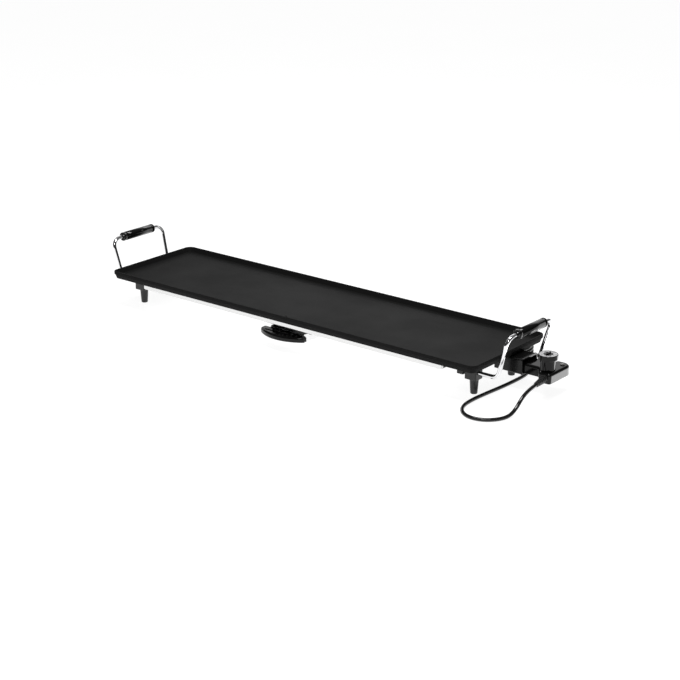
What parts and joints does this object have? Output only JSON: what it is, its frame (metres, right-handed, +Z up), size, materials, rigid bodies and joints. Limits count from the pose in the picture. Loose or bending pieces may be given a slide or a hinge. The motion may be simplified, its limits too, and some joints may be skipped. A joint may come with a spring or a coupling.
{
  "type": "electric griddle",
  "caption": "Long tabletop electric griddle with wire carrying handles, moulded feet, slide-out grease tray and a plug-in thermostat with cord.",
  "frame": {"origin": "on the table, under the middle of the box of the object without its free cord", "axes": "+X along the plate to the thermostat end, +Y away from the tray side, +Z up from the table"},
  "size_m": [1.046, 0.3814, 0.132],
  "materials": {
    "nonstick_black": "satin non-stick coating, dark charcoal",
    "bright_sheet": "bright rolled aluminium sheet",
    "element_sheath": "dull heat-stained steel sheath",
    "steel": "plain zinc-plated steel",
    "chrome_wire": "polished chrome",
    "black_gloss": "glossy black moulding",
    "black_matte": "satin black moulding",
    "rubber_black": "soft black rubber",
    "brass_contact": "plain brass",
    "ceramic": "unglazed ceramic insulator",
    "scale_silver": "silver printed scale",
    "lens_clear": "clear pilot lens",
    "lamp_glass": "small neon bulb",
    "cord_pvc": "glossy black cord jacket"
  },
  "bodies": {
    "griddle": {"cooking_plate": "nonstick_black", "heating_element": "element_sheath", "element_clips": "steel", "clip_screws": "steel", "inlet_shroud": "black_matte", "shroud_screws": "steel", "terminal_bushes": "ceramic", "terminal_pins": "brass_contact", "reflector_pan": "bright_sheet", "reflector_screws": "steel", "drain_spout": "bright_sheet", "foot_front_left": "black_gloss", "foot_front_right": "black_gloss", "foot_rear_left": "black_gloss", "foot_rear_right": "black_gloss", "foot_pads": "rubber_black", "foot_screws": "steel", "handle_wire_left": "chrome_wire", "handle_wire_right": "chrome_wire", "handle_grip_left": "black_gloss", "handle_grip_right": "black_gloss", "handle_clamps": "black_matte", "clamp_screws": "chrome_wire", "tray_rail_left": "steel", "tray_rail_right": "steel", "rail_screws": "steel"},
    "tray": {"drip_tray": "bright_sheet", "tray_handle": "black_gloss", "tray_rivets": "steel"},
    "thermostat": {"thermostat_base": "black_gloss", "thermostat_cover": "black_gloss", "housing_screws": "steel", "thermostat_probe": "steel", "contact_sleeves": "brass_contact", "contact_block": "ceramic", "switch_stack": "ceramic", "switch_leaves": "brass_contact", "pilot_lamp": "lamp_glass", "pilot_lens": "lens_clear", "strain_relief": "rubber_black", "cord_lead": "cord_pvc", "cord_coil": "cord_pvc", "coil_tie": "black_matte", "cord_tail": "cord_pvc", "plug_body": "black_gloss", "plug_blades": "brass_contact"},
    "dial": {"dial_shaft": "steel", "dial_knob": "black_gloss", "dial_scale_ring": "scale_silver"}
  },
  "joints": [
    {"name": "tray_slide", "type": "slide", "parent": "griddle", "child": "tray", "axis": [0, -1, 0], "range_m": [0, 0.115]},
    {"name": "thermostat_unplug", "type": "slide", "parent": "griddle", "child": "thermostat", "axis": [1, 0, 0], "range_m": [0, 0.09]},
    {"name": "dial_turn", "type": "hinge", "parent": "thermostat", "child": "dial", "pos_m": [0.504, 0.0085, 0.075], "axis": [0, 0, 1], "range_deg": [0, 270]}
  ]
}
